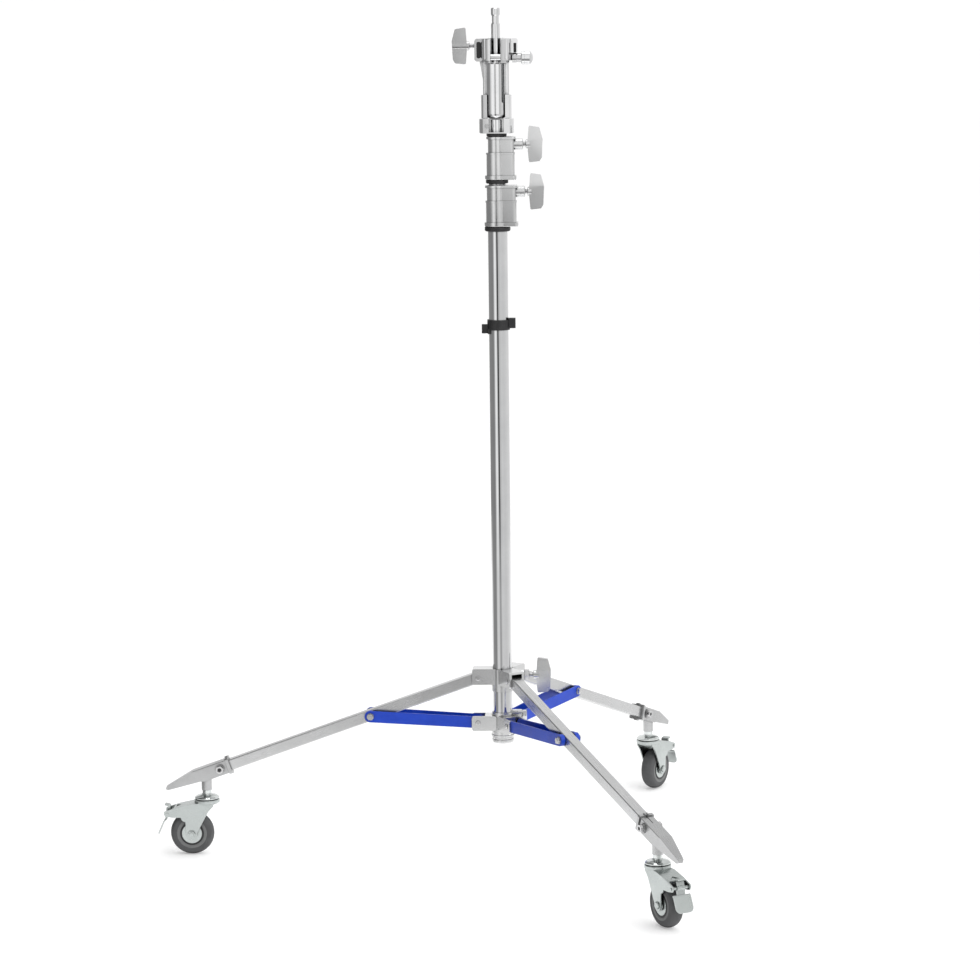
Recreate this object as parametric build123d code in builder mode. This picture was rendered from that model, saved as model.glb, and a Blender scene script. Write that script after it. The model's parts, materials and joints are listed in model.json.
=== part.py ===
from build123d import *
import os
from math import atan2, cos, degrees, hypot, radians, sin

# Wheeled three-section combo light stand. Millimetres, +Z up. The origin is on the floor under
# the column axis. "out" is the radial distance from the column axis in a leg's vertical plane.

# ---------------------------------------------------------------- driving dimensions
LEG_AZIMUTHS = {1: 180, 2: 300, 3: 60}

COLUMN_R = 17.5
COLUMN_WALL = 2.0
COLUMN_BOTTOM = 219.0
COLUMN_TOP = 1188.0
BUSH_R = 16.4
BUSH_LENGTH = 15.0
RISER_1_R = 15.0
RISER_2_R = 12.5
RISER_WALL = 1.7
RUNNING = 0.06

COLLAR_WALL_R = 19.6
LOWER_ARM_HALF = 17.0
LOWER_ARM_INSIDE = 14.0
SET_BOLT_Z = 257.0
UPPER_ARM_HALF = 15.0
UPPER_ARM_INSIDE = 10.4
COLLAR_KNOB_Z = 331.5
COLLAR_BOSS_END = 40.0

LEG_PIVOT = (43.5, 328.0)
BRACE_PIVOT = (44.8, 246.0)
LINK_PIVOT = (240.6, 258.5)
PIVOT_PIN_R = 3.0

LEG_SIZE = 20.0
LEG_WALL = 1.5
LEG_TUBE_INNER_END = -7.0
LEG_TUBE_OUTER_END = 518.0
FOOT_START = 483.0
FOOT_BOLT_AT = 503.0
FOOT_BEND = 552.0
FOOT_HALF = 12.4
FOOT_SLIT = 1.6
NOSE_TIP = 608.0

BRACE_HEIGHT = 21.0
BRACE_SHEET = 2.5
BRACE_INNER_HALF = 13.5
BRACE_OUTER_HALF = 18.5
BRACE_WEB_END = 108.0

SWIVEL_OUT = 544.0
SOCKET_BOTTOM = 120.0
STEM_TOP = 156.0
STEM_R = 5.5
RACE_GAP_Z = 103.4
WHEEL_R = 40.0
WHEEL_TRAIL = 28.0
TYRE_WIDTH = 25.0
HUB_R = 20.0
HUB_WIDTH = 30.0
FORK_INSIDE_HALF = 15.6
FORK_SHEET = 2.4
AXLE_R = 4.0
PEDAL_PIVOT = (72.0, 78.0)

KNOB_HEIGHT = 64.0
KNOB_DEPTH = 25.0
KNOB_THICKNESS = 16.0
KNOB_CREASE = 10.0
KNOB_HUB_R = 8.2
SCREW_R = 4.0

HEAD_BOTTOM = 1312.0
GRUB_AT = (-16.5, 1325.0)
GRUB_R = 2.0
GRUB_DEPTH = 14.5

RECEIVER_R = 19.0
RECEIVER_BORE_R = 14.4
RECEIVER_FLOOR = 1347.0
RECEIVER_BORE_TOP = 1437.0
FLANK_TOP = 1380.0

CROWN_BOTTOM = 1440.0
CROWN_TOP = 1479.0
CROWN_SLOT = 19.0
CROWN_BORE_R = 15.6
FLUTE_AT = (19.6, -24.2)
FLUTE_R = 3.6

BABY_PIN_R = 7.93
PIN_BOSS_R = 5.6
PIN_CROSS_Y = -20.5
PIN_CROSS_Z = 1446.0
CROSS_PIN_HALF = 15.5

PLUNGER_Z = 1444.4
PLUNGER_R = 2.5
HOUSING_THREAD_R = 4.2
HOUSING_START = 16.0
HOUSING_FLANGE = 29.0

# ---------------------------------------------------------------- worked out from them
LEG_LENGTH_TO_LINK = hypot(LINK_PIVOT[0] - LEG_PIVOT[0], LINK_PIVOT[1] - LEG_PIVOT[1])
LEG_SLOPE = degrees(atan2(LEG_PIVOT[1] - LINK_PIVOT[1], LINK_PIVOT[0] - LEG_PIVOT[0]))
BRACE_LENGTH = hypot(LINK_PIVOT[0] - BRACE_PIVOT[0], LINK_PIVOT[1] - BRACE_PIVOT[1])
BRACE_RISE = degrees(atan2(LINK_PIVOT[1] - BRACE_PIVOT[1], LINK_PIVOT[0] - BRACE_PIVOT[0]))

os.makedirs("parts", exist_ok=True)


# ---------------------------------------------------------------- planes
def side_plane(azimuth, out=0.0, z=0.0, drop=0.0):
    """Vertical plane through the column axis: local x runs out and down by drop, local y up."""
    outward = Vector(cos(radians(azimuth)), sin(radians(azimuth)), 0)
    up = Vector(0, 0, 1)
    x_dir = outward * cos(radians(drop)) - up * sin(radians(drop))
    return Plane(origin=outward * out + up * z, x_dir=x_dir, z_dir=outward.cross(up))


def plan_plane(side):
    """Same origin and x as a side plane, seen from above: its normal is the side plane's y."""
    return Plane(origin=side.origin, x_dir=side.x_dir, z_dir=side.y_dir)


def section_plane(side, x):
    """Cross-section plane at distance x along a side plane's local x, looking outward."""
    return Plane(origin=side.from_local_coords((x, 0, 0)), x_dir=side.z_dir, z_dir=side.x_dir)


def swivel_point(azimuth, z):
    """Point on a caster's swivel axis."""
    return (SWIVEL_OUT * cos(radians(azimuth)), SWIVEL_OUT * sin(radians(azimuth)), z)


def leg_side(azimuth):
    return side_plane(azimuth, LEG_PIVOT[0], LEG_PIVOT[1], LEG_SLOPE)


def brace_side(azimuth):
    return side_plane(azimuth, BRACE_PIVOT[0], BRACE_PIVOT[1], -BRACE_RISE)


def caster_side(azimuth):
    """Local x runs outward from the swivel axis, local y is the height above the floor."""
    return side_plane(azimuth, SWIVEL_OUT, 0)


# ---------------------------------------------------------------- column and its lower collar
def make_column_tube():
    """Outer mast tube, from the end cap up into the lock casting."""
    with BuildPart() as column_tube:
        with BuildSketch(Plane.XY.offset(COLUMN_BOTTOM)):
            Circle(COLUMN_R)
            Circle(COLUMN_R - COLUMN_WALL, mode=Mode.SUBTRACT)
        extrude(amount=COLUMN_TOP - COLUMN_BOTTOM)
    column_tube.part.label = "column_tube"
    export_step(column_tube.part, "parts/column_tube.step")


def make_lower_collar():
    """Fixed casting: hub on the column, three forked arms open at the top, one bolt boss."""
    with BuildPart() as lower_collar:
        with BuildSketch(Plane.XY.offset(COLUMN_BOTTOM)):
            Circle(COLLAR_WALL_R)
        extrude(amount=45)
        with BuildSketch(Plane.XY.offset(COLUMN_BOTTOM)):
            Circle(COLLAR_WALL_R + 1.6)
        extrude(amount=3)
        for azimuth in LEG_AZIMUTHS.values():
            side = side_plane(azimuth)
            with BuildSketch(side):
                with Locations((33.5, 244.5)):
                    RectangleRounded(45, 27, 4)
            extrude(amount=LOWER_ARM_HALF, both=True)
        for azimuth in LEG_AZIMUTHS.values():
            side = side_plane(azimuth)
            with BuildSketch(side):
                with Locations((32 + 25, 244.5)):
                    Rectangle(50, 60)
            extrude(amount=LOWER_ARM_INSIDE, both=True, mode=Mode.SUBTRACT)
            with BuildSketch(side):
                with Locations((BRACE_PIVOT[0], BRACE_PIVOT[1])):
                    Circle(PIVOT_PIN_R)
            extrude(amount=LOWER_ARM_HALF + 1, both=True, mode=Mode.SUBTRACT)
        with BuildSketch(section_plane(side_plane(0, 0, SET_BOLT_Z), 10)):
            RectangleRounded(17, 19, 4)
        extrude(amount=25)
        with BuildSketch(Plane.XY.offset(COLUMN_BOTTOM - 1)):
            Circle(COLUMN_R)
        extrude(amount=60, mode=Mode.SUBTRACT)
        with BuildSketch(section_plane(side_plane(0, 0, SET_BOLT_Z), COLUMN_R - 3)):
            Circle(SCREW_R)
        extrude(amount=23, mode=Mode.SUBTRACT)
    lower_collar.part.label = "lower_collar"
    export_step(lower_collar.part, "parts/lower_collar.step")


def pivot_rivet(side, half_width, head_r=4.6, head_h=2.2):
    """Solid rivet through two cheeks: shaft and two low domed heads, axis along the side normal."""
    with BuildPart() as rivet:
        with BuildSketch(side):
            Circle(PIVOT_PIN_R)
        extrude(amount=half_width + 0.5, both=True)
        for direction in (1, -1):
            with BuildSketch(side.offset(direction * half_width)):
                Circle(head_r)
            extrude(amount=direction * head_h)
        heads = rivet.edges().filter_by(GeomType.CIRCLE).filter_by(
            lambda e: abs(abs(side.to_local_coords(e.center()).Z) - half_width - head_h) < 0.01)
        fillet(heads, radius=1.7)
    return rivet.part


def make_lower_collar_hardware():
    """Three brace rivets, the set bolt and the column's end cap."""
    solids = []
    for azimuth in LEG_AZIMUTHS.values():
        side = side_plane(azimuth, BRACE_PIVOT[0], BRACE_PIVOT[1])
        solids.append(pivot_rivet(side, LOWER_ARM_HALF))
    bolt_side = side_plane(0, 0, SET_BOLT_Z)
    with BuildPart() as set_bolt:
        with BuildSketch(section_plane(bolt_side, COLUMN_R)):
            Circle(SCREW_R)
        extrude(amount=20)
        with BuildSketch(section_plane(bolt_side, 36)):
            RegularPolygon(radius=8.5, side_count=6, major_radius=False)
        extrude(amount=8)
        chamfer(set_bolt.faces().sort_by(Axis.X)[-1].edges(), length=1)
    solids.append(set_bolt.part)
    with BuildPart() as end_cap:
        with BuildSketch(Plane.XY.offset(207)):
            Circle(19.6)
        extrude(amount=12)
        with BuildSketch(Plane.XY.offset(219)):
            Circle(COLUMN_R - COLUMN_WALL)
        extrude(amount=12)
        fillet(end_cap.faces().sort_by(Axis.Z)[0].edges(), radius=3)
        with BuildSketch(Plane.XY.offset(214)):
            Circle(19.7)
            Circle(18.6, mode=Mode.SUBTRACT)
        extrude(amount=1.6, mode=Mode.SUBTRACT)
    solids.append(end_cap.part)
    hardware = Compound(children=solids)
    hardware.label = "lower_collar_hardware"
    export_step(hardware, "parts/lower_collar_hardware.step")


# ---------------------------------------------------------------- lock castings
def casting_outline(radius, web_end):
    """Round barrel with a square-ended web to +X that carries the screw boss."""
    Circle(radius)
    with Locations((web_end / 2, 0)):
        RectangleRounded(web_end, 2 * radius * 0.88, 5)


def make_lock_casting(name, bottom, step, top, tube_r, bore_r, low_r, high_r, web, boss_z, boss_end,
                      pocket=(0, 0)):
    """Cast lock: socket on the tube below, guide bore for the tube above, boss for a T-knob.

    pocket is the radius and length of the recess for a guide bush, above the socket.
    """
    with BuildPart() as casting:
        with BuildSketch(Plane.XY.offset(bottom)):
            casting_outline(low_r, web)
        extrude(amount=step - bottom)
        with BuildSketch(Plane.XY.offset(step)):
            casting_outline(high_r, web - 1)
        extrude(amount=top - step)
        with BuildSketch(Plane.XY.offset(bottom)):
            casting_outline(low_r + 3, web + 3)
        extrude(amount=7)
        with BuildSketch(Plane.XY.offset(step - 1.5)):
            casting_outline(low_r + 0.9, web + 0.6)
        extrude(amount=3)
        with BuildSketch(Plane.XY.offset(top - 4.5)):
            casting_outline(high_r + 3, web + 2)
        extrude(amount=4.5)
        flat_faces = casting.faces().filter_by(Axis.Z)
        fillet(flat_faces.sort_by(Axis.Z)[0].edges(), radius=1.6)
        fillet(casting.faces().filter_by(Axis.Z).sort_by(Axis.Z)[-1].edges(), radius=1.4)
        with BuildSketch(section_plane(side_plane(0, 0, boss_z), 12)):
            Circle(10)
        extrude(amount=boss_end - 12)
        fillet(casting.faces().sort_by(Axis.X)[-1].edges(), radius=1.5)
        with BuildSketch(Plane.XY.offset(bottom - 1)):
            Circle(bore_r)
        extrude(amount=top - bottom + 2, mode=Mode.SUBTRACT)
        with BuildSketch(Plane.XY.offset(bottom - 1)):
            Circle(tube_r)
        extrude(amount=step - bottom - 3 + 1, mode=Mode.SUBTRACT)
        if pocket[0]:
            with BuildSketch(Plane.XY.offset(step - 3)):
                Circle(pocket[0])
            extrude(amount=pocket[1], mode=Mode.SUBTRACT)
        with BuildSketch(section_plane(side_plane(0, 0, boss_z), bore_r - 2)):
            Circle(SCREW_R + RUNNING)
        extrude(amount=60, mode=Mode.SUBTRACT)
    casting.part.label = name
    export_step(casting.part, f"parts/{name}.step")


def ring_solid(bottom, top, outer_r, inner_r, edge=1.2):
    """Plain ring with softened outer edges."""
    with BuildPart() as ring:
        with BuildSketch(Plane.XY.offset(bottom)):
            Circle(outer_r)
        extrude(amount=top - bottom)
        if edge:
            fillet(ring.edges().filter_by(GeomType.CIRCLE), radius=edge)
        with BuildSketch(Plane.XY.offset(bottom - 1)):
            Circle(inner_r)
        extrude(amount=top - bottom + 2, mode=Mode.SUBTRACT)
    return ring.part


def make_column_guides():
    """Black plastic pieces of the column: stop ring under the casting, guide bush inside it."""
    stop_ring = ring_solid(1138, 1147, 23.0, COLUMN_R, 3.0)
    bush = ring_solid(COLUMN_TOP, COLUMN_TOP + BUSH_LENGTH, BUSH_R, RISER_1_R + RUNNING, 0)
    guides = Compound(children=[stop_ring, bush])
    guides.label = "column_guides"
    export_step(guides, "parts/column_guides.step")


def make_column_lock_casting():
    """Lock casting on the column's top end, with a pocket for its guide bush."""
    make_lock_casting("column_lock_casting", 1147.0, 1191.0, 1220.0, COLUMN_R, RISER_1_R + 0.35,
                      20.4, 18.8, 34.0, 1208.5, 49.5, pocket=(BUSH_R, BUSH_LENGTH))


def make_riser_1():
    """Middle tube with its own lock casting, rings and foot plug."""
    with BuildPart() as riser_1_tube:
        with BuildSketch(Plane.XY.offset(246)):
            Circle(RISER_1_R)
            Circle(RISER_1_R - RISER_WALL, mode=Mode.SUBTRACT)
        extrude(amount=1273 - 246)
    riser_1_tube.part.label = "riser_1_tube"
    export_step(riser_1_tube.part, "parts/riser_1_tube.step")

    make_lock_casting("riser_1_lock_casting", 1230.0, 1276.0, 1306.0, RISER_1_R, RISER_2_R + RUNNING,
                      18.6, 15.8, 31.6, 1292.4, 46.7)

    foot_r = COLUMN_R - COLUMN_WALL - RUNNING
    foot = ring_solid(238, 246, foot_r, 9.0, 0.3)
    foot_spigot = ring_solid(246, 262, RISER_1_R - RISER_WALL, 9.0, 0)
    with BuildPart() as foot_plug:
        add(foot)
        add(foot_spigot)
    lower_ring = ring_solid(1223, 1230, 20.0, RISER_1_R, 2.0)
    guides = Compound(children=[foot_plug.part, lower_ring])
    guides.label = "riser_1_guides"
    export_step(guides, "parts/riser_1_guides.step")


def make_riser_2_tube():
    """Inner tube, from its rolled lower end up into the head base."""
    with BuildPart() as riser_2_tube:
        with BuildSketch(Plane.XY.offset(272)):
            Circle(RISER_2_R)
            Circle(RISER_2_R - RISER_WALL, mode=Mode.SUBTRACT)
        extrude(amount=1336 - 272)
    riser_2_tube.part.label = "riser_2_tube"
    export_step(riser_2_tube.part, "parts/riser_2_tube.step")


def make_riser_2_guides():
    """Black plastic pieces of the inner tube: foot plug and the ring under the head."""
    foot_r = RISER_1_R - RISER_WALL - RUNNING
    with BuildPart() as foot_plug:
        with BuildSketch(Plane.XY.offset(265)):
            Circle(foot_r)
        extrude(amount=7)
        with BuildSketch(Plane.XY.offset(272)):
            Circle(RISER_2_R - RISER_WALL)
        extrude(amount=16)
        with BuildSketch(Plane.XY.offset(264)):
            Circle(7)
        extrude(amount=25, mode=Mode.SUBTRACT)
    top_ring = ring_solid(1306.4, 1312, 18.0, RISER_2_R, 1.5)
    guides = Compound(children=[foot_plug.part, top_ring])
    guides.label = "riser_2_guides"
    export_step(guides, "parts/riser_2_guides.step")


# ---------------------------------------------------------------- T-knobs
def make_t_knob(name, azimuth, z, tip, hub, wing, band=False):
    """Cast wing knob on a steel screw. tip, hub and wing are distances out from the column axis.

    The wing is thickest along a crease above its middle. band carries the hub on through the wing.
    """
    side = side_plane(azimuth, 0, z)
    half = KNOB_HEIGHT / 2
    back = wing + KNOB_DEPTH
    with BuildPart() as knob:
        with BuildSketch(side):
            with BuildLine():
                Polyline((wing, half + 0.5), (back - 6, half - 2.5), (back - 0.5, 9), (back - 2, half - 56),
                         (back - 6, -half + 1.5), (wing, -half - 0.5), (wing - 1.8, -12), (wing - 1.8, 10),
                         close=True)
            make_face()
        extrude(amount=KNOB_THICKNESS / 2, both=True)
        fillet(knob.edges().filter_by(Axis(side.origin, side.z_dir)), radius=2.6)
        with BuildSketch(section_plane(side, wing - 5)):
            with BuildLine():
                Polyline((5.2, half + 2), (7.6, -KNOB_CREASE), (4.6, -half - 2), (-4.6, -half - 2),
                         (-7.6, -KNOB_CREASE), (-5.2, half + 2), close=True)
            make_face()
        extrude(amount=KNOB_DEPTH + 10, mode=Mode.INTERSECT)
        with BuildSketch(section_plane(side, hub)):
            Circle(KNOB_HUB_R)
        extrude(amount=back - 1.5 - hub if band else wing + 2 - hub)
        ends = knob.edges().filter_by(GeomType.CIRCLE).filter_by(
            lambda e: abs(side.to_local_coords(e.center()).X - hub) < 0.01)
        fillet(ends, radius=1.5)
        with BuildSketch(section_plane(side, hub - 1)):
            Circle(SCREW_R)
        extrude(amount=wing + 12 - hub + 1, mode=Mode.SUBTRACT)
    knob.part.label = name
    export_step(knob.part, f"parts/{name}.step")

    with BuildPart() as screw:
        with BuildSketch(section_plane(side, tip)):
            Circle(SCREW_R)
        extrude(amount=wing + 12 - tip)
        ends = screw.edges().filter_by(GeomType.CIRCLE).filter_by(
            lambda e: abs(side.to_local_coords(e.center()).X - tip) < 0.01)
        chamfer(ends, length=0.8)
    screw.part.label = f"{name}_screw"
    export_step(screw.part, f"parts/{name}_screw.step")


# ---------------------------------------------------------------- leg collar
def make_leg_collar():
    """Sliding casting: hub on the column, three arms open below and outward, one screw boss."""
    with BuildPart() as leg_collar:
        with BuildSketch(Plane.XY.offset(303)):
            Circle(COLLAR_WALL_R)
        extrude(amount=41)
        for azimuth in LEG_AZIMUTHS.values():
            with BuildSketch(side_plane(azimuth)):
                with Locations((32.3, 330.5)):
                    RectangleRounded(44.6, 29, 4)
            extrude(amount=UPPER_ARM_HALF, both=True)
        for azimuth in LEG_AZIMUTHS.values():
            side = side_plane(azimuth)
            with BuildSketch(side):
                with Locations((28 + 25, 341.4 - 25)):
                    Rectangle(50, 50)
            extrude(amount=UPPER_ARM_INSIDE, both=True, mode=Mode.SUBTRACT)
            with BuildSketch(side):
                with Locations(LEG_PIVOT):
                    Circle(PIVOT_PIN_R)
            extrude(amount=UPPER_ARM_HALF + 1, both=True, mode=Mode.SUBTRACT)
        with BuildSketch(section_plane(side_plane(0, 0, COLLAR_KNOB_Z), 10)):
            Circle(10)
        extrude(amount=COLLAR_BOSS_END - 10)
        fillet(leg_collar.faces().filter_by(Axis.X).sort_by(Axis.X)[-1].edges(), radius=1.2)
        with BuildSketch(Plane.XY.offset(300)):
            Circle(COLUMN_R + RUNNING)
        extrude(amount=60, mode=Mode.SUBTRACT)
        with BuildSketch(section_plane(side_plane(0, 0, COLLAR_KNOB_Z), 15)):
            Circle(SCREW_R + RUNNING)
        extrude(amount=40, mode=Mode.SUBTRACT)
    leg_collar.part.label = "leg_collar"
    export_step(leg_collar.part, "parts/leg_collar.step")


def make_leg_collar_hardware():
    """Three leg rivets and the lock nut of the collar's screw."""
    solids = []
    for azimuth in LEG_AZIMUTHS.values():
        side = side_plane(azimuth, LEG_PIVOT[0], LEG_PIVOT[1])
        solids.append(pivot_rivet(side, UPPER_ARM_HALF))
    with BuildPart() as lock_nut:
        with BuildSketch(section_plane(side_plane(0, 0, COLLAR_KNOB_Z), COLLAR_BOSS_END)):
            RegularPolygon(radius=9.5, side_count=6, major_radius=False)
        extrude(amount=9)
        chamfer(lock_nut.faces().sort_by(Axis.X)[-1].edges(), length=1)
        with BuildSketch(section_plane(side_plane(0, 0, COLLAR_KNOB_Z), COLLAR_BOSS_END - 1)):
            Circle(SCREW_R + RUNNING)
        extrude(amount=12, mode=Mode.SUBTRACT)
    solids.append(lock_nut.part)
    hardware = Compound(children=solids)
    hardware.label = "leg_collar_hardware"
    export_step(hardware, "parts/leg_collar_hardware.step")


# ---------------------------------------------------------------- legs
def make_leg_tube(number, azimuth):
    """Square tube with cross holes for the collar rivet, the brace sleeve and the foot bolt."""
    side = leg_side(azimuth)
    with BuildPart() as leg_tube:
        with BuildSketch(section_plane(side, LEG_TUBE_INNER_END)):
            RectangleRounded(LEG_SIZE, LEG_SIZE, 2)
            RectangleRounded(LEG_SIZE - 2 * LEG_WALL, LEG_SIZE - 2 * LEG_WALL, 0.8, mode=Mode.SUBTRACT)
        extrude(amount=LEG_TUBE_OUTER_END - LEG_TUBE_INNER_END)
        with BuildSketch(side):
            Circle(PIVOT_PIN_R + RUNNING)
            with Locations((LEG_LENGTH_TO_LINK, 0)):
                Circle(4.5)
            with Locations((FOOT_BOLT_AT, 0)):
                Circle(4)
        extrude(amount=LEG_SIZE, both=True, mode=Mode.SUBTRACT)
    leg_tube.part.label = f"leg_{number}_tube"
    export_step(leg_tube.part, f"parts/leg_{number}_tube.step")


def make_foot_casting(number, azimuth):
    """Cast foot: clamp sleeve on the leg, pointed nose, vertical caster socket underneath."""
    side = leg_side(azimuth)
    plan = plan_plane(side)
    with BuildPart() as foot:
        with BuildSketch(side):
            with BuildLine():
                Polyline((FOOT_START, FOOT_HALF), (FOOT_BEND, FOOT_HALF), (NOSE_TIP, 1.2),
                         (NOSE_TIP + 4, -3.2), (NOSE_TIP, -6.2), (FOOT_BEND - 6, -9.8),
                         (FOOT_BEND - 14, -FOOT_HALF), (FOOT_START, -FOOT_HALF), close=True)
            make_face()
        extrude(amount=FOOT_HALF, both=True)
        with BuildSketch(plan):
            with BuildLine():
                Polyline((FOOT_START - 5, FOOT_HALF), (FOOT_BEND, FOOT_HALF), (NOSE_TIP - 2, 6.5),
                         (NOSE_TIP - 2, -6.5), (FOOT_BEND, -FOOT_HALF), (FOOT_START - 5, -FOOT_HALF),
                         close=True)
            make_face()
            with Locations((NOSE_TIP - 2, 0)):
                Circle(6.4)
        extrude(amount=40, both=True, mode=Mode.INTERSECT)
        fillet(foot.edges().group_by(SortBy.LENGTH)[-1], radius=1.5)
        with BuildSketch(section_plane(side, FOOT_START)):
            RectangleRounded(2 * FOOT_HALF + 4.6, 2 * FOOT_HALF + 4.6, 3)
            RectangleRounded(9, 2 * FOOT_HALF + 9, 2)
        extrude(amount=6)
        with BuildSketch(side):
            with Locations((FOOT_BOLT_AT, 0)):
                Circle(8.6)
        extrude(amount=FOOT_HALF + 2.6, both=True)
        with BuildSketch(Plane(origin=swivel_point(azimuth, SOCKET_BOTTOM))):
            Circle(9.5)
        extrude(amount=27)
        with BuildSketch(section_plane(side, FOOT_START - 1)):
            Rectangle(LEG_SIZE, LEG_SIZE)
        extrude(amount=LEG_TUBE_OUTER_END + 1.2 - FOOT_START, mode=Mode.SUBTRACT)
        with BuildSketch(section_plane(side, FOOT_START - 1)):
            with Locations((0, -FOOT_HALF)):
                Rectangle(FOOT_SLIT, 12)
        extrude(amount=28, mode=Mode.SUBTRACT)
        with BuildSketch(side):
            with Locations((FOOT_BOLT_AT, 0)):
                Circle(4)
        extrude(amount=30, both=True, mode=Mode.SUBTRACT)
        with BuildSketch(Plane(origin=swivel_point(azimuth, SOCKET_BOTTOM - 1))):
            Circle(STEM_R)
        extrude(amount=STEM_TOP - SOCKET_BOTTOM + 1.5, mode=Mode.SUBTRACT)
    foot.part.label = f"leg_{number}_foot_casting"
    export_step(foot.part, f"parts/leg_{number}_foot_casting.step")


def make_leg_hardware(number, azimuth):
    """Foot clamp bolt with its nut, and the pivot sleeve that the brace bolt lines up with."""
    side = leg_side(azimuth)
    face = FOOT_HALF + 2.6
    with BuildPart() as clamp_bolt:
        with BuildSketch(side.offset(-face - 5.6)):
            with Locations((FOOT_BOLT_AT, 0)):
                Circle(4)
        extrude(amount=2 * face + 8)
        with BuildSketch(side.offset(face)):
            with Locations((FOOT_BOLT_AT, 0)):
                Circle(6.6)
        extrude(amount=6)
        with BuildSketch(side.offset(face + 6)):
            with Locations((FOOT_BOLT_AT, 0)):
                RegularPolygon(radius=3, side_count=6, major_radius=False)
        extrude(amount=-4, mode=Mode.SUBTRACT)
    with BuildPart() as clamp_nut:
        with BuildSketch(side.offset(-face)):
            with Locations((FOOT_BOLT_AT, 0)):
                RegularPolygon(radius=6.5, side_count=6, major_radius=False)
                Circle(4, mode=Mode.SUBTRACT)
        extrude(amount=-6.6)
    with BuildPart() as link_sleeve:
        with BuildSketch(side):
            with Locations((LEG_LENGTH_TO_LINK, 0)):
                Circle(4.5)
                Circle(3.1, mode=Mode.SUBTRACT)
        extrude(amount=LEG_SIZE / 2, both=True)
    hardware = Compound(children=[clamp_bolt.part, clamp_nut.part, link_sleeve.part])
    hardware.label = f"leg_{number}_hardware"
    export_step(hardware, f"parts/leg_{number}_hardware.step")


# ---------------------------------------------------------------- braces
def make_brace(number, azimuth):
    """Pressed channel: two flanges that spread outward, a short web below, lipped outer ends."""
    side = brace_side(azimuth)
    plan = plan_plane(side)
    half_height = BRACE_HEIGHT / 2
    start = -half_height
    end = BRACE_LENGTH + half_height

    def outer_half(x):
        spread = (BRACE_OUTER_HALF - BRACE_INNER_HALF) / BRACE_LENGTH
        return BRACE_INNER_HALF + spread * x

    with BuildPart() as brace:
        with BuildSketch(plan.offset(-half_height)):
            for hand in (1, -1):
                with BuildLine():
                    Polyline((start, hand * outer_half(start)), (end, hand * outer_half(end)),
                             (end, hand * (outer_half(end) - BRACE_SHEET)),
                             (start, hand * (outer_half(start) - BRACE_SHEET)), close=True)
                make_face()
        extrude(amount=BRACE_HEIGHT)
        with BuildSketch(plan.offset(-half_height)):
            with BuildLine():
                Polyline((15, outer_half(15) - 1), (BRACE_WEB_END, outer_half(BRACE_WEB_END) - 1),
                         (BRACE_WEB_END, 1 - outer_half(BRACE_WEB_END)), (15, 1 - outer_half(15)),
                         close=True)
            make_face()
        extrude(amount=BRACE_SHEET)
        for hand in (1, -1):
            with BuildSketch(side.offset(hand * 10.9)):
                with Locations((BRACE_LENGTH, 0)):
                    Circle(half_height)
                    Circle(half_height - BRACE_SHEET, mode=Mode.SUBTRACT)
                    with Locations((-15.5, 0)):
                        Rectangle(25, 30, mode=Mode.SUBTRACT)
            extrude(amount=hand * 6)
        with BuildSketch(side):
            with Locations((BRACE_LENGTH / 2, 0)):
                SlotCenterToCenter(BRACE_LENGTH, BRACE_HEIGHT)
        extrude(amount=40, both=True, mode=Mode.INTERSECT)
        with BuildSketch(side):
            Circle(PIVOT_PIN_R + RUNNING)
            with Locations((BRACE_LENGTH, 0)):
                Circle(PIVOT_PIN_R)
        extrude(amount=40, both=True, mode=Mode.SUBTRACT)
    brace.part.label = f"brace_{number}"
    export_step(brace.part, f"parts/brace_{number}.step")


def make_brace_hardware(number, azimuth):
    """The two ends of the brace-to-leg bolt: hex head and hex nut, each with its stub and washer."""
    side = brace_side(azimuth)
    face = BRACE_OUTER_HALF + 0.2
    solids = []
    for hand in (1, -1):
        with BuildPart() as bolt_end:
            with BuildSketch(side.offset(hand * 10.9)):
                with Locations((BRACE_LENGTH, 0)):
                    Circle(PIVOT_PIN_R)
            extrude(amount=hand * (face + 6 - 10.9))
            with BuildSketch(side.offset(hand * face)):
                with Locations((BRACE_LENGTH, 0)):
                    Circle(6.4)
            extrude(amount=hand * 1.0)
            with BuildSketch(side.offset(hand * (face + 1.0))):
                with Locations((BRACE_LENGTH, 0)):
                    RegularPolygon(radius=5.0, side_count=6, major_radius=False)
            extrude(amount=hand * 4.0)
        solids.append(bolt_end.part)
    hardware = Compound(children=solids)
    hardware.label = f"brace_{number}_hardware"
    export_step(hardware, f"parts/brace_{number}_hardware.step")


# ---------------------------------------------------------------- casters
def make_caster_stem(number, azimuth):
    """Stem with neck, domed upper race and king pin whose end is riveted under the fork."""
    side = caster_side(azimuth)
    with BuildPart() as stem:
        with BuildSketch(side):
            with BuildLine():
                Polyline((0, STEM_TOP), (STEM_R - 1, STEM_TOP), (STEM_R, STEM_TOP - 1),
                         (STEM_R, SOCKET_BOTTOM), (8.2, SOCKET_BOTTOM), (8.2, 113.5), (10, 111.5),
                         (18.5, 109.5), (22.5, 106.5), (22.5, 104.8), (5, 104.8), (5, 94.2),
                         (7.5, 94.2), (6.5, 91.4), (0, 91.4), close=True)
            make_face()
        revolve(axis=Axis(swivel_point(azimuth, 0), (0, 0, 1)), revolution_arc=360)
    stem.part.label = f"caster_{number}_stem"
    export_step(stem.part, f"parts/caster_{number}_stem.step")


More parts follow.
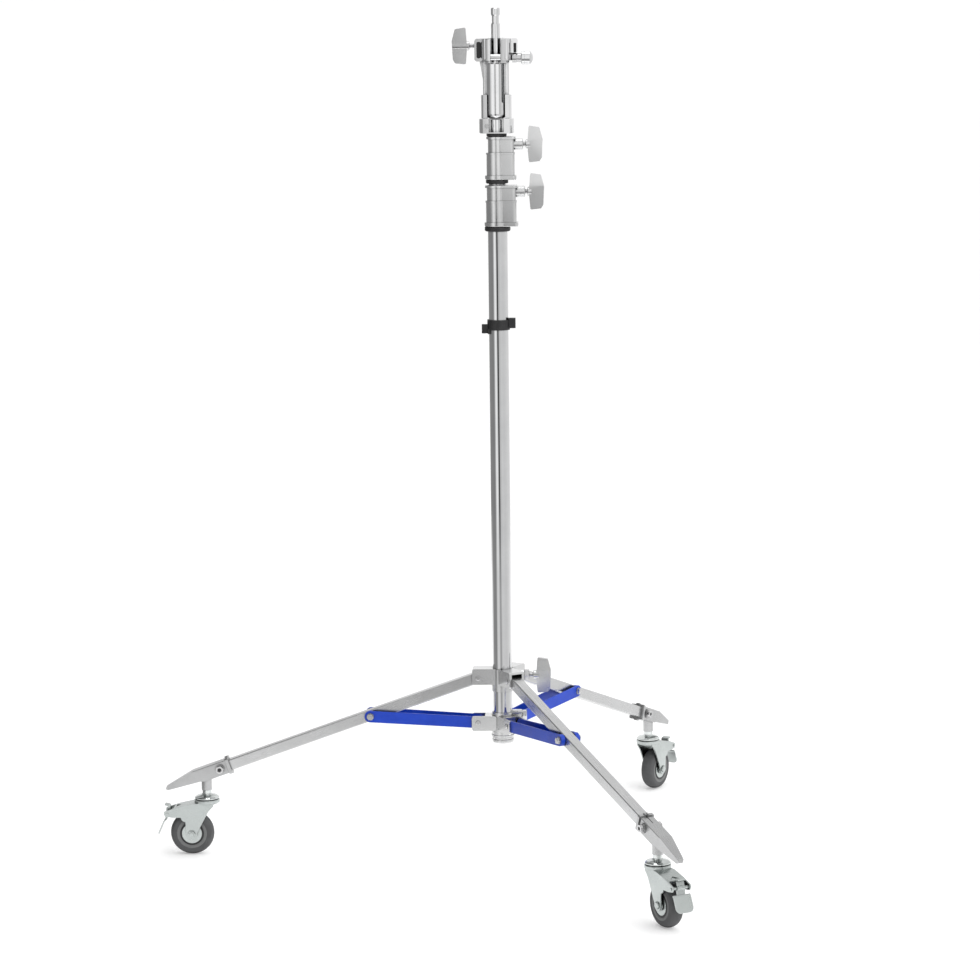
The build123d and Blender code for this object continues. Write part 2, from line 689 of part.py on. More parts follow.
def make_caster_fork(number, azimuth):
    """Pressed fork: lower race on a sloping top plate, two side plates with brake arms."""
    side = caster_side(azimuth)
    trail = WHEEL_TRAIL
    outside = FORK_INSIDE_HALF + FORK_SHEET
    with BuildPart() as fork:
        with BuildSketch(side):
            with BuildLine():
                Polyline((-13, 97), (24, 97), (54, 90.5), (77, 82.5), (78.5, 78), (76, 73),
                         (62, 71), (47, 71))
                RadiusArc((47, 71), (39, 63), 8)
                Line((39, 63), (trail + 9.8, WHEEL_R + 1))
                ThreePointArc((trail + 9.8, WHEEL_R + 1), (trail, WHEEL_R - 9.9),
                              (trail - 9.8, WHEEL_R + 1.4))
                Polyline((trail - 9.8, WHEEL_R + 1.4), (-3.5, 82), (-13, 92), (-13, 97))
            make_face()
        extrude(amount=outside, both=True)
        with BuildSketch(side):
            with BuildLine():
                Polyline((-30, 94.6), (24, 94.6), (52, 88.4), (60, 86.4), (60, 95), (90, 95),
                         (90, 10), (-30, 10), close=True)
            make_face()
        extrude(amount=FORK_INSIDE_HALF, both=True, mode=Mode.SUBTRACT)
        with BuildSketch(Plane(origin=swivel_point(azimuth, 94.6))):
            Circle(19)
        extrude(amount=2.4)
        with BuildSketch(Plane(origin=swivel_point(azimuth, 97))):
            Circle(23)
        extrude(amount=RACE_GAP_Z - 97)
        race_rim = fork.edges().filter_by(GeomType.CIRCLE).filter_by(
            lambda e: abs(e.radius - 23) < 0.01 and abs(e.center().Z - RACE_GAP_Z) < 0.01)
        fillet(race_rim, radius=2)
        with BuildSketch(plan_plane(caster_side(azimuth)).offset(80)):
            with BuildLine():
                Polyline((47, 0), (56, 8), (56, -8), close=True)
            make_face()
        extrude(amount=20, mode=Mode.SUBTRACT)
        with BuildSketch(Plane(origin=swivel_point(azimuth, 90))):
            Circle(5 + RUNNING)
        extrude(amount=20, mode=Mode.SUBTRACT)
        with BuildSketch(side):
            with Locations((trail, WHEEL_R)):
                Circle(AXLE_R)
            with Locations(PEDAL_PIVOT):
                Circle(2.5)
        extrude(amount=outside + 1, both=True, mode=Mode.SUBTRACT)
    fork.part.label = f"caster_{number}_fork"
    export_step(fork.part, f"parts/caster_{number}_fork.step")


def make_caster_hardware(number, azimuth):
    """Axle bolt with its nut, and the brake pedal's pivot pin."""
    side = caster_side(azimuth)
    outside = FORK_INSIDE_HALF + FORK_SHEET
    with BuildPart() as axle_bolt:
        with BuildSketch(side.offset(-outside - 4.5)):
            with Locations((WHEEL_TRAIL, WHEEL_R)):
                Circle(AXLE_R)
        extrude(amount=2 * outside + 6)
        with BuildSketch(side.offset(outside)):
            with Locations((WHEEL_TRAIL, WHEEL_R)):
                Circle(6.4)
        extrude(amount=3)
        dome = axle_bolt.edges().filter_by(GeomType.CIRCLE).filter_by(
            lambda e: abs(side.to_local_coords(e.center()).Z - outside - 3) < 0.01)
        fillet(dome, radius=1.8)
    with BuildPart() as axle_nut:
        with BuildSketch(side.offset(-outside)):
            with Locations((WHEEL_TRAIL, WHEEL_R)):
                RegularPolygon(radius=6.2, side_count=6, major_radius=False)
                Circle(AXLE_R, mode=Mode.SUBTRACT)
        extrude(amount=-3.4)
    with BuildPart() as pedal_pin:
        with BuildSketch(side):
            with Locations(PEDAL_PIVOT):
                Circle(2.5)
        extrude(amount=outside + 1.2, both=True)
    hardware = Compound(children=[axle_bolt.part, axle_nut.part, pedal_pin.part])
    hardware.label = f"caster_{number}_hardware"
    export_step(hardware, f"parts/caster_{number}_hardware.step")


def make_caster_wheel(number, azimuth):
    """Rubber tyre on a metal-covered hub that turns on the axle bolt."""
    axle = side_plane(azimuth, SWIVEL_OUT + WHEEL_TRAIL, WHEEL_R)
    plan = Plane(origin=axle.origin, x_dir=axle.z_dir, z_dir=-axle.x_dir)
    spin = Axis(axle.origin, axle.z_dir)
    half = TYRE_WIDTH / 2
    with BuildPart() as tyre:
        with BuildSketch(plan):
            with BuildLine():
                Line((-half + 1.5, HUB_R), (half - 1.5, HUB_R))
                Line((half - 1.5, HUB_R), (half - 0.6, HUB_R + 2))
                ThreePointArc((half - 0.6, HUB_R + 2), (half, 31), (half - 2.2, 36.4))
                ThreePointArc((half - 2.2, 36.4), (0, WHEEL_R), (-half + 2.2, 36.4))
                ThreePointArc((-half + 2.2, 36.4), (-half, 31), (-half + 0.6, HUB_R + 2))
                Line((-half + 0.6, HUB_R + 2), (-half + 1.5, HUB_R))
            make_face()
        revolve(axis=spin, revolution_arc=360)
    tyre.part.label = f"caster_{number}_tyre"
    export_step(tyre.part, f"parts/caster_{number}_tyre.step")

    wide = HUB_WIDTH / 2
    with BuildPart() as hub:
        with BuildSketch(plan):
            with BuildLine():
                Polyline((-wide, AXLE_R + RUNNING), (-wide, 7), (-half - 0.2, 9), (-half + 0.2, 18.4),
                         (-half + 1.2, 19), (-half + 2.6, HUB_R), (half - 2.6, HUB_R),
                         (half - 1.2, 19), (half - 0.2, 18.4), (half + 0.2, 9), (wide, 7),
                         (wide, AXLE_R + RUNNING), close=True)
            make_face()
        revolve(axis=spin, revolution_arc=360)
    hub.part.label = f"caster_{number}_hub"
    export_step(hub.part, f"parts/caster_{number}_hub.step")


def make_brake_pedal(number, azimuth):
    """Rocking pedal: barrel on the pivot pin, foot pad below, release tab above."""
    side = caster_side(azimuth)
    px, pz = PEDAL_PIVOT
    with BuildPart() as pedal:
        with BuildSketch(side):
            with Locations(PEDAL_PIVOT):
                Circle(4.6)
            with BuildLine():
                Polyline((px - 2, pz - 3), (px + 1.5, pz - 12), (px + 4.5, pz - 15),
                         (px + 7, pz - 15), (px + 4.2, pz - 11), (px + 3.4, pz - 2), close=True)
            make_face()
            with BuildLine():
                Polyline((px - 3, pz + 3), (px - 5, pz + 12), (px - 2.6, pz + 14.5), (px + 5.5, pz + 16),
                         (px + 5.5, pz + 13.8), (px - 1, pz + 12), (px + 2, pz + 3), close=True)
            make_face()
        extrude(amount=7.5, both=True)
        with BuildSketch(side):
            with BuildLine():
                Polyline((px + 2.8, pz - 12), (px + 6, pz - 16), (px + 16.5, pz - 39.5),
                         (px + 18.5, pz - 38.5), (px + 8.2, pz - 15), (px + 4.4, pz - 10.4), close=True)
            make_face()
        extrude(amount=17, both=True)
        corners = pedal.edges().filter_by(
            lambda e: e.length < 3 and abs(side.to_local_coords(e.center()).Z) > 16.9
            and side.to_local_coords(e.center()).Y < pz - 38)
        fillet(corners, radius=9)
        with BuildSketch(side):
            with Locations(PEDAL_PIVOT):
                Circle(2.5 + RUNNING)
        extrude(amount=20, both=True, mode=Mode.SUBTRACT)
    pedal.part.label = f"caster_{number}_brake_pedal"
    export_step(pedal.part, f"parts/caster_{number}_brake_pedal.step")


# ---------------------------------------------------------------- cable clip
def make_cable_clip():
    """Plastic clip round the column with two finger tabs."""
    with BuildPart() as clip:
        with BuildSketch(Plane.XY.offset(962)):
            Circle(20.3)
        extrude(amount=18)
        with BuildSketch(Plane.XY.offset(965)):
            with Locations((24, -4)):
                RectangleRounded(13, 11, 2)
        extrude(amount=18)
        with BuildSketch(Plane.XY.offset(956)):
            with Locations((-24, -4)):
                RectangleRounded(12, 10, 2)
        extrude(amount=16)
        with BuildSketch(Plane.XY.offset(955)):
            with Locations((-16, -9)):
                RectangleRounded(7, 6, 1.5)
        extrude(amount=9)
        with BuildSketch(Plane.XY.offset(950)):
            Circle(COLUMN_R + RUNNING)
        extrude(amount=40, mode=Mode.SUBTRACT)
        with BuildSketch(Plane.XY.offset(950)):
            with Locations((0, 20)):
                Rectangle(9, 14)
        extrude(amount=40, mode=Mode.SUBTRACT)
    clip.part.label = "cable_clip"
    export_step(clip.part, "parts/cable_clip.step")


# ---------------------------------------------------------------- head


def make_head_base():
    """Yoke on the inner tube: two rounded cheeks with windows between, and two flanks above."""
    with BuildPart() as head_base:
        with BuildSketch(Plane.XY.offset(HEAD_BOTTOM)):
            Circle(31)
            Rectangle(70, 40, mode=Mode.INTERSECT)
        extrude(amount=26)
        with BuildSketch(Plane.XY.offset(HEAD_BOTTOM)):
            Circle(27.2)
            Rectangle(60, 30, mode=Mode.INTERSECT)
        extrude(amount=FLANK_TOP - HEAD_BOTTOM)
        fillet(head_base.edges().filter_by(GeomType.CIRCLE), radius=1.5)
        for y in (-20, 20):
            with BuildSketch(Plane.XY.offset(HEAD_BOTTOM + 2)):
                with Locations((0, y)):
                    Rectangle(27, 24)
            extrude(amount=24.5, mode=Mode.SUBTRACT)
        with BuildSketch(Plane.XY.offset(HEAD_BOTTOM + 26)):
            Circle(RECEIVER_R)
        extrude(amount=60, mode=Mode.SUBTRACT)
        with BuildSketch(Plane.XY.offset(HEAD_BOTTOM + 26)):
            Rectangle(32, 60)
        extrude(amount=60, mode=Mode.SUBTRACT)
        with BuildSketch(Plane.XY.offset(HEAD_BOTTOM - 1)):
            Circle(RISER_2_R)
        extrude(amount=25, mode=Mode.SUBTRACT)
        with BuildSketch(side_plane(0)):
            with Locations(GRUB_AT):
                Circle(GRUB_R)
        extrude(amount=40, mode=Mode.SUBTRACT)
    head_base.part.label = "head_base"
    export_step(head_base.part, "parts/head_base.step")


def make_receiver():
    """Junior receiver: blind tube with side ribs, and a slotted crown with lugs for the hardware."""
    with BuildPart() as receiver:
        with BuildSketch(Plane.XY.offset(HEAD_BOTTOM + 26)):
            Circle(RECEIVER_R)
        extrude(amount=CROWN_BOTTOM - HEAD_BOTTOM - 26)
        bottom_rim = receiver.faces().sort_by(Axis.Z)[0].edges()
        fillet(bottom_rim, radius=9)
        with BuildSketch(Plane.XY.offset(FLANK_TOP)):
            RectangleRounded(46, 15, 3)
        extrude(amount=CROWN_BOTTOM - FLANK_TOP)
        with BuildSketch(Plane.XY.offset(CROWN_BOTTOM - 4)):
            Circle(24)
        extrude(amount=5)
        with BuildSketch(Plane.XY.offset(CROWN_BOTTOM)):
            Circle(28.6)
        extrude(amount=CROWN_TOP - CROWN_BOTTOM)
        fillet(receiver.faces().sort_by(Axis.Z)[-1].edges(), radius=2.5)
        with BuildSketch(side_plane(0)):
            with Locations((-30, 1458.5)):
                RectangleRounded(15, 40, 5)
        extrude(amount=11, both=True)
        with BuildSketch(side_plane(0)):
            with Locations((32, 1466)):
                RectangleRounded(13.4, 25, 3)
        extrude(amount=9, both=True)
        with BuildSketch(side_plane(0)):
            with BuildLine():
                Polyline((-18, CROWN_BOTTOM + 1), (-29, CROWN_BOTTOM + 1), (-22.6, 1403), (-22, 1384),
                         (-18, 1384), close=True)
            make_face()
        extrude(amount=3, both=True)
        with BuildSketch(Plane.XY.offset(CROWN_BOTTOM - 6)):
            with Locations((0, -24)):
                Rectangle(CROWN_SLOT, 28)
        extrude(amount=60, mode=Mode.SUBTRACT)
        with BuildSketch(side_plane(0).offset(7.5)):
            with Locations((-30, 1458.5)):
                RectangleRounded(7.4, 29, 3)
        extrude(amount=6, mode=Mode.SUBTRACT)
        with BuildSketch(side_plane(0).offset(4.5)):
            with Locations((34.2, 1462)):
                Rectangle(5, 17)
        extrude(amount=8, mode=Mode.SUBTRACT)
        with BuildSketch(Plane.XY.offset(CROWN_BOTTOM + 2)):
            with Locations((-FLUTE_AT[0], FLUTE_AT[1]), FLUTE_AT):
                Circle(FLUTE_R)
        extrude(amount=50, mode=Mode.SUBTRACT)
        with BuildSketch(Plane.XY.offset(RECEIVER_FLOOR)):
            Circle(RECEIVER_BORE_R)
        extrude(amount=RECEIVER_BORE_TOP - RECEIVER_FLOOR, mode=Mode.SUBTRACT)
        with BuildSketch(Plane.XY.offset(RECEIVER_BORE_TOP)):
            Circle(CROWN_BORE_R)
        extrude(amount=CROWN_TOP - CROWN_BOTTOM + 10, mode=Mode.SUBTRACT)
        with BuildSketch(section_plane(side_plane(180, 0, 1466), 10)):
            Circle(SCREW_R + RUNNING)
        extrude(amount=40, mode=Mode.SUBTRACT)
        with BuildSketch(section_plane(side_plane(0, 0, PLUNGER_Z), 8)):
            Circle(HOUSING_THREAD_R)
        extrude(amount=40, mode=Mode.SUBTRACT)
        with BuildSketch(section_plane(side_plane(0, 0, PIN_CROSS_Z), -CROSS_PIN_HALF)):
            with Locations((-PIN_CROSS_Y, 0)):
                Circle(PIVOT_PIN_R)
        extrude(amount=2 * CROSS_PIN_HALF, mode=Mode.SUBTRACT)
        with BuildSketch(section_plane(side_plane(-48, 0, 1402), 10)):
            SlotCenterToCenter(66, 7, rotation=90)
        extrude(amount=12, mode=Mode.SUBTRACT)
    receiver.part.label = "receiver"
    export_step(receiver.part, "parts/receiver.step")


def make_head_hardware():
    """Cross pin of the baby pin, grub screw of the head base and the plunger's threaded housing."""
    with BuildPart() as cross_pin:
        with BuildSketch(section_plane(side_plane(0, 0, PIN_CROSS_Z), -CROSS_PIN_HALF)):
            with Locations((-PIN_CROSS_Y, 0)):
                Circle(PIVOT_PIN_R)
        extrude(amount=2 * CROSS_PIN_HALF)
    with BuildPart() as grub_screw:
        with BuildSketch(side_plane(0).offset(5)):
            with Locations(GRUB_AT):
                Circle(GRUB_R)
        extrude(amount=GRUB_DEPTH - 5)
        with BuildSketch(side_plane(0).offset(20)):
            with Locations(GRUB_AT):
                Circle(3.6)
        extrude(amount=3)
    axis_side = side_plane(0, 0, PLUNGER_Z)
    with BuildPart() as housing:
        with BuildSketch(section_plane(axis_side, HOUSING_START)):
            Circle(HOUSING_THREAD_R)
        extrude(amount=HOUSING_FLANGE - HOUSING_START + 1)
        with BuildSketch(section_plane(axis_side, HOUSING_FLANGE)):
            Circle(8.7)
        extrude(amount=7)
        with BuildSketch(section_plane(axis_side, 36)):
            Circle(8.0)
        extrude(amount=9)
        with BuildSketch(section_plane(axis_side, HOUSING_START - 1)):
            Circle(PLUNGER_R + RUNNING)
        extrude(amount=40, mode=Mode.SUBTRACT)
        with BuildSketch(section_plane(axis_side, 30)):
            Circle(5.5)
        extrude(amount=13, mode=Mode.SUBTRACT)
    hardware = Compound(children=[cross_pin.part, grub_screw.part, housing.part])
    hardware.label = "head_hardware"
    export_step(hardware, "parts/head_hardware.step")


def make_baby_pin():
    """Flip-up spigot: grooved shaft above the bore, foot reaching forward to its cross pin."""
    section = Plane.YZ
    with BuildPart() as baby_pin:
        with BuildSketch(section):
            with BuildLine():
                Polyline((0, 1440), (BABY_PIN_R, 1440), (BABY_PIN_R, 1503.5), (6.2, 1506.5),
                         (6.2, 1517.5), (BABY_PIN_R, 1520.5), (BABY_PIN_R, 1531),
                         (BABY_PIN_R - 1.2, 1532.2),
                         (0, 1532.2), close=True)
            make_face()
        revolve(axis=Axis.Z, revolution_arc=360)
        with BuildSketch(section):
            with BuildLine():
                Polyline((PIN_CROSS_Y, PIN_CROSS_Z - PIN_BOSS_R), (6, PIN_CROSS_Z - 6.2),
                         (8.5, PIN_CROSS_Z - 3), (8.5, PIN_CROSS_Z + 4), (-9.5, PIN_CROSS_Z + 4),
                         (-12, PIN_CROSS_Z + PIN_BOSS_R), (PIN_CROSS_Y, PIN_CROSS_Z + PIN_BOSS_R),
                         close=True)
            make_face()
            with Locations((PIN_CROSS_Y, PIN_CROSS_Z)):
                Circle(PIN_BOSS_R)
        extrude(amount=CROWN_SLOT / 2 - 0.4, both=True)
        with BuildSketch(section):
            with Locations((PIN_CROSS_Y, PIN_CROSS_Z)):
                Circle(PIVOT_PIN_R + RUNNING)
        extrude(amount=12, both=True, mode=Mode.SUBTRACT)
        with BuildSketch(section_plane(side_plane(0, 0, PLUNGER_Z), 7.6)):
            Circle(2.9)
        extrude(amount=4, mode=Mode.SUBTRACT)
    baby_pin.part.label = "baby_pin"
    export_step(baby_pin.part, "parts/baby_pin.step")


def make_plunger():
    """Pull plunger: pin with a spring collar, domed knob, and the spring inside the housing."""
    side = side_plane(0, 0, PLUNGER_Z)
    with BuildPart() as plunger_pin:
        with BuildSketch(side):
            with BuildLine():
                Polyline((9.5, 0), (9.5, 1.2), (10.6, 2.5), (31, 2.5), (31, 5), (33, 5), (33, 2.5),
                         (45.4, 2.5), (45.4, 11), (46.4, 12), (60, 12.2))
                Spline((60, 12.2), (64.44, 6.75), (66, 0), tangents=((0.6, -0.5), (0, -1)))
                Line((66, 0), (9.5, 0))
            make_face()
        revolve(axis=Axis((0, 0, PLUNGER_Z), (1, 0, 0)), revolution_arc=360)
        with BuildSketch(section_plane(side, 50)):
            Circle(14)
            Circle(11.5, mode=Mode.SUBTRACT)
        extrude(amount=1.2, mode=Mode.SUBTRACT)
    plunger_pin.part.label = "plunger_pin"
    export_step(plunger_pin.part, "parts/plunger_pin.step")

    with BuildPart() as plunger_spring:
        with BuildLine():
            coil = Helix(pitch=1.8, height=8.6, radius=4.0, center=(33.6, 0, PLUNGER_Z),
                         direction=(1, 0, 0))
        with BuildSketch(Plane(origin=coil @ 0, z_dir=coil % 0)):
            Circle(0.4)
        sweep(path=coil, is_frenet=True)
    plunger_spring.part.label = "plunger_spring"
    export_step(plunger_spring.part, "parts/plunger_spring.step")


def make_all():
    """Build every piece of the stand."""
    make_column_tube()
    make_lower_collar()
    make_lower_collar_hardware()
    make_column_lock_casting()
    make_column_guides()
    make_riser_1()
    make_riser_2_tube()
    make_riser_2_guides()
    make_t_knob("column_knob", 0, 1208.5, 15.4, 54, 59)
    make_t_knob("riser_1_knob", 0, 1292.4, 12.9, 51.5, 57)
    make_t_knob("collar_knob", 0, COLLAR_KNOB_Z, 17.9, 56, 64)
    make_t_knob("receiver_knob", 180, 1466, 16, 46.5, 53, band=True)
    make_leg_collar()
    make_leg_collar_hardware()
    for number, azimuth in LEG_AZIMUTHS.items():
        make_leg_tube(number, azimuth)
        make_foot_casting(number, azimuth)
        make_leg_hardware(number, azimuth)
        make_brace(number, azimuth)
        make_brace_hardware(number, azimuth)
        make_caster_stem(number, azimuth)
        make_caster_fork(number, azimuth)
        make_caster_hardware(number, azimuth)
        make_caster_wheel(number, azimuth)
        make_brake_pedal(number, azimuth)
    make_cable_clip()
    make_head_base()
    make_receiver()
    make_head_hardware()
    make_baby_pin()
    make_plunger()


make_all()
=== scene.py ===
import bpy
import bmesh
import json
from math import cos, pi, radians, sin
from mathutils import Matrix, Vector


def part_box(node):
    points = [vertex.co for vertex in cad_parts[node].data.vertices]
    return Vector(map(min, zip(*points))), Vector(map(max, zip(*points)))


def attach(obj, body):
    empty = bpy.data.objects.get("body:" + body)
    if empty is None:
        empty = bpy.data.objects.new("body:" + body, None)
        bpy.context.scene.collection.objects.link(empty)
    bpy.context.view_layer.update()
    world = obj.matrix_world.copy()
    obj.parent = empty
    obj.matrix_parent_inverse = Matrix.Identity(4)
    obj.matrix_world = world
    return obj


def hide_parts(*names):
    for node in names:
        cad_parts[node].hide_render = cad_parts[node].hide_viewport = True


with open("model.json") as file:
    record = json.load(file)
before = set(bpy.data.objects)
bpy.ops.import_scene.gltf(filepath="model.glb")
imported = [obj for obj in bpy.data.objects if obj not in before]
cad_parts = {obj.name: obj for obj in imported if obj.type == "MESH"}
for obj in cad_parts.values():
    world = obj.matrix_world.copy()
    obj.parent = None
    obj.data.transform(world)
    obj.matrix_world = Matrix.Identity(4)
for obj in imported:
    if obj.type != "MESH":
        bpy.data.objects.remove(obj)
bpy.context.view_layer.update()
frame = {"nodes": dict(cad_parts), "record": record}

# Wheeled combo stand, in metres: +Z runs up the column and the front is -Y.
AZIMUTHS = {1: 180, 2: 300, 3: 60}  # direction of each leg, in degrees from +X
LEG_DROP = 19.425  # slope of the open legs, in degrees
MM = 0.001
BODIES = frame["record"]["behaviour"]["bodies"]
BODY_OF = {node: body for body, nodes in BODIES.items() for node in nodes}
SLOT_OF = {part["node"]: part["material_slot"] for part in frame["record"]["subparts"]}
JOINTS = {joint["name"]: joint for joint in frame["record"]["behaviour"]["joints"]}

# ---------------------------------------------------------------- materials
GAP_REACH = 0.010  # how far into a gap the painted shade in corners reaches


class Nodes:
    """Small helper that adds nodes to one material and links them."""

    def __init__(self, name):
        self.mat = bpy.data.materials.new(name)
        self.mat.use_nodes = True
        self.tree = self.mat.node_tree
        self.shader = self.tree.nodes["Principled BSDF"]

    def add(self, kind, **settings):
        node = self.tree.nodes.new(kind)
        for key, value in settings.items():
            setattr(node, key, value)
        return node

    def link(self, a, b):
        self.tree.links.new(a, b)

    def coords(self, stretch=(1, 1, 1), turns=()):
        """Object coordinates, turned and then scaled, so that a texture can run along a part."""
        vector = self.add("ShaderNodeTexCoord").outputs["Object"]
        for socket, value in [("Rotation", turn) for turn in turns] + [("Scale", stretch)]:
            step = self.add("ShaderNodeMapping", vector_type="POINT")
            step.inputs[socket].default_value = value
            self.link(vector, step.inputs["Vector"])
            vector = step.outputs["Vector"]
        return vector

    def noise(self, vector, scale, detail, rough, distortion=0.0):
        node = self.add("ShaderNodeTexNoise")
        node.inputs["Scale"].default_value = scale
        node.inputs["Detail"].default_value = detail
        node.inputs["Roughness"].default_value = rough
        node.inputs["Distortion"].default_value = distortion
        self.link(vector, node.inputs["Vector"])
        return node.outputs["Fac"]

    def ramp(self, factor, stops):
        """Colour ramp through stops of (position, RGB colour or grey level)."""
        node = self.add("ShaderNodeValToRGB")
        ramp = node.color_ramp
        while len(ramp.elements) < len(stops):
            ramp.elements.new(0.5)
        for element, (at, color) in zip(ramp.elements, stops):
            element.position = at
            element.color = (*color, 1) if isinstance(color, tuple) else (color, color, color, 1)
        self.link(factor, node.inputs["Fac"])
        return node.outputs["Color"]

    def math(self, operation, a, b):
        node = self.add("ShaderNodeMath", operation=operation)
        for socket, value in zip(node.inputs, (a, b)):
            if isinstance(value, (int, float)):
                socket.default_value = value
            else:
                self.link(value, socket)
        return node.outputs[0]

    def mixed(self, a, b, share_a, share_b):
        return self.math("ADD", self.math("MULTIPLY", a, share_a),
                         self.math("MULTIPLY", b, share_b))

    def painted_corner_shade(self, color):
        """Colour darkened where surfaces meet: painted shade in narrow gaps."""
        near = self.add("ShaderNodeAmbientOcclusion", samples=8)
        near.inputs["Distance"].default_value = GAP_REACH
        level = self.ramp(near.outputs["AO"], [(0.16, 0.07), (0.78, 1.0)])
        mix = self.add("ShaderNodeMix", data_type="RGBA", blend_type="MULTIPLY")
        mix.inputs["Factor"].default_value = 1.0
        self.link(color, mix.inputs["A"])
        self.link(level, mix.inputs["B"])
        return mix.outputs["Result"]

    def bump(self, height, strength, distance, under=None):
        node = self.add("ShaderNodeBump")
        node.inputs["Strength"].default_value = strength
        node.inputs["Distance"].default_value = distance
        self.link(height, node.inputs["Height"])
        if under is not None:
            self.link(under, node.inputs["Normal"])
        return node.outputs["Normal"]

    def finish(self, color, roughness, normal, metallic, **fixed):
        """Link the patterns to the shader, with painted shade in the gaps of the base colour, set
        its fixed sockets and return the material.
        """
        # the base colour of every material gets painted shade where surfaces meet
        self.link(self.painted_corner_shade(color), self.shader.inputs["Base Color"])
        self.link(roughness, self.shader.inputs["Roughness"])
        self.link(normal, self.shader.inputs["Normal"])
        self.shader.inputs["Metallic"].default_value = metallic
        for key, value in fixed.items():
            self.shader.inputs[key.replace("_", " ")].default_value = value
        return self.mat


def metal(name, dark, light, rough, grain, depth, stretch=(1, 1, 1), turns=(), scratch=0.0):
    """Bare or plated metal: cloudy colour, uneven polish, fine grain and sparse scratches.

    dark and light are colours, rough is a range of roughness, grain a noise scale, and depth
    and scratch are bump heights. stretch and turns lay the grain along the part.
    """
    n = Nodes(name)
    coords = n.coords()
    along = n.coords(stretch, turns)
    cloud = n.noise(coords, scale=22, detail=5, rough=0.6)
    fine = n.noise(along, scale=grain, detail=6, rough=0.7)
    color = n.ramp(n.mixed(cloud, fine, 0.65, 0.35), [(0.30, dark), (0.68, light)])
    smudge = n.noise(coords, scale=9, detail=3, rough=0.5, distortion=0.6)
    roughness = n.ramp(n.mixed(smudge, fine, 0.6, 0.4), [(0.30, rough[0]), (0.72, rough[1])])
    normal = n.bump(fine, 0.6, depth)
    if scratch:
        long_marks = n.noise(n.coords((1, 1, 0.06)), scale=900, detail=2, rough=0.5)
        marks = n.ramp(long_marks, [(0.60, 0.0), (0.66, 1.0)])
        normal = n.bump(marks, 0.35, scratch, normal)
    return n.finish(color, roughness, normal, metallic=1.0)


def painted(name, dark, light, rough):
    """Gloss paint with orange peel, a cloudy tone and a clear coat."""
    n = Nodes(name)
    coords = n.coords()
    cloud = n.noise(coords, scale=30, detail=4, rough=0.55)
    color = n.ramp(cloud, [(0.35, dark), (0.65, light)])
    peel = n.noise(coords, scale=900, detail=2, rough=0.5)
    uneven = n.noise(coords, scale=60, detail=4, rough=0.6)
    roughness = n.ramp(uneven, [(0.3, rough[0]), (0.7, rough[1])])
    normal = n.bump(peel, 0.25, 0.00006)
    return n.finish(color, roughness, normal, metallic=0.0, Coat_Weight=0.10,
                    Coat_Roughness=0.12, Specular_IOR_Level=0.35)


def rubber(name, dark, light, rough):
    """Matt rubber or plastic with a fine grain and patches of dust."""
    n = Nodes(name)
    coords = n.coords()
    dust = n.noise(coords, scale=45, detail=6, rough=0.65)
    color = n.ramp(dust, [(0.35, dark), (0.70, light)])
    grain = n.noise(coords, scale=2600, detail=3, rough=0.6)
    roughness = n.ramp(dust, [(0.3, rough[0]), (0.7, rough[1])])
    normal = n.bump(grain, 0.5, 0.00008)
    return n.finish(color, roughness, normal, metallic=0.0)


CHROME = metal("chrome_tube", dark=(0.80, 0.805, 0.815), light=(0.90, 0.905, 0.91),
               rough=(0.035, 0.085), grain=1400, depth=0.0000035, stretch=(1, 1, 0.02),
               scratch=0.000004)
HEAD = metal("chrome_head", dark=(0.80, 0.805, 0.81), light=(0.91, 0.91, 0.915),
             rough=(0.09, 0.17), grain=700, depth=0.000006)
CAST = metal("cast_satin", dark=(0.47, 0.473, 0.475), light=(0.55, 0.553, 0.555),
             rough=(0.22, 0.34), grain=1500, depth=0.00002)
BRIGHT_CAST = metal("cast_bright", dark=(0.72, 0.723, 0.725), light=(0.80, 0.803, 0.805),
                    rough=(0.17, 0.28), grain=1300, depth=0.000015)
FASTENER = metal("fastener", dark=(0.56, 0.56, 0.57), light=(0.74, 0.74, 0.74),
                 rough=(0.16, 0.28), grain=1100, depth=0.00001)
ZINC = metal("zinc_plate", dark=(0.46, 0.49, 0.48), light=(0.56, 0.595, 0.585),
             rough=(0.22, 0.36), grain=900, depth=0.00001)
BRIGHT_ZINC = metal("zinc_bright", dark=(0.66, 0.69, 0.68), light=(0.78, 0.81, 0.80),
                    rough=(0.08, 0.16), grain=900, depth=0.000006)
BLUE = painted("brace_blue", dark=(0.001, 0.034, 0.38), light=(0.003, 0.046, 0.46),
               rough=(0.32, 0.44))
TYRE = rubber("tyre_rubber", dark=(0.060, 0.061, 0.063), light=(0.085, 0.086, 0.088),
              rough=(0.62, 0.80))
TYRE_WALL = rubber("tyre_wall", dark=(0.120, 0.123, 0.123), light=(0.155, 0.158, 0.158),
                   rough=(0.46, 0.62))
# BLACK is the colour of the black plastic parts; the same material also paints the shade in the
# slits, bolt sockets, crown pockets, fork openings and wheel grooves
BLACK = rubber("black_plastic", dark=(0.010, 0.010, 0.011), light=(0.020, 0.020, 0.021),
               rough=(0.38, 0.52))
LEG_MATS = {i: metal(f"leg_satin_{i}", dark=(0.585, 0.587, 0.59), light=(0.655, 0.657, 0.66),
                     rough=(0.22, 0.32), grain=1100, depth=0.000006, stretch=(0.03, 1, 1),
                     turns=((0, 0, radians(-azimuth)), (0, radians(-LEG_DROP), 0)))
            for i, azimuth in AZIMUTHS.items()}
MATERIAL_OF = {"tube_chrome": CHROME, "head_chrome": HEAD, "cast_satin": CAST,
               "fastener": FASTENER, "zinc": ZINC, "brace_blue": BLUE, "tyre": TYRE,
               "black_plastic": BLACK}


def material_for(node):
    """Material of a CAD node from its slot; stems and all castings but the feet are brighter."""
    if node.endswith("_stem"):
        return BRIGHT_ZINC
    if SLOT_OF[node] == "cast_satin" and "foot" not in node:
        return BRIGHT_CAST
    if SLOT_OF[node] == "leg_satin":
        return LEG_MATS[int(node.split("_")[1])]
    return MATERIAL_OF[SLOT_OF[node]]


